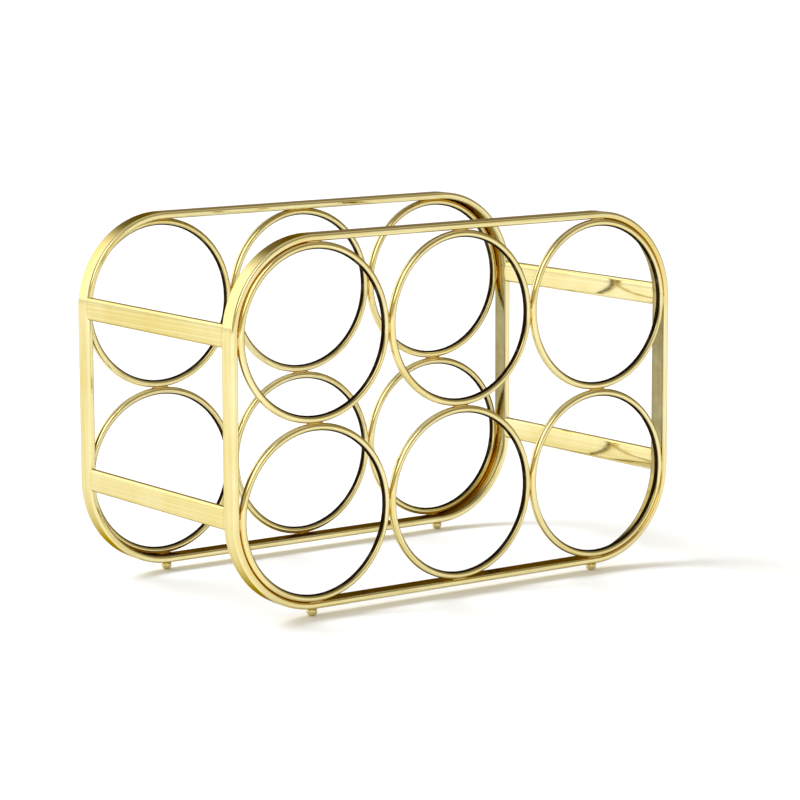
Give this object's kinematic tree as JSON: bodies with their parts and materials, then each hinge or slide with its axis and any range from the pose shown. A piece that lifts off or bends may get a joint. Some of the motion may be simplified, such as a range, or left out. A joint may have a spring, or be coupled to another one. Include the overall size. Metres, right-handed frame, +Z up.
{
  "type": "wine rack",
  "caption": "Countertop wine rack of polished gold-plated steel: two flat-bar hoops filled with wire rings, cross bars between them, ball feet.",
  "frame": {"origin": "on the surface the rack stands on, under the middle of the rack", "axes": "+Z up; +X to the rack's right, along its three columns; +Y to its back, along the bottles"},
  "size_m": [0.3204, 0.172, 0.2214],
  "materials": {
    "gold_bar": "polished pale gold plate over steel flat bar",
    "gold_wire": "polished pale gold plate over steel wire",
    "gold_foot": "polished pale gold plate over turned steel"
  },
  "bodies": {
    "root": {"back_hoop": "gold_bar", "back_ring_lower_left": "gold_wire", "back_ring_lower_middle": "gold_wire", "back_ring_lower_right": "gold_wire", "back_ring_upper_left": "gold_wire", "back_ring_upper_middle": "gold_wire", "back_ring_upper_right": "gold_wire", "cross_bar_lower_left": "gold_bar", "cross_bar_lower_right": "gold_bar", "cross_bar_upper_left": "gold_bar", "cross_bar_upper_right": "gold_bar", "foot_back_left": "gold_foot", "foot_back_right": "gold_foot", "foot_front_left": "gold_foot", "foot_front_right": "gold_foot", "front_hoop": "gold_bar", "front_ring_lower_left": "gold_wire", "front_ring_lower_middle": "gold_wire", "front_ring_lower_right": "gold_wire", "front_ring_upper_left": "gold_wire", "front_ring_upper_middle": "gold_wire", "front_ring_upper_right": "gold_wire"}
  },
  "joints": []
}
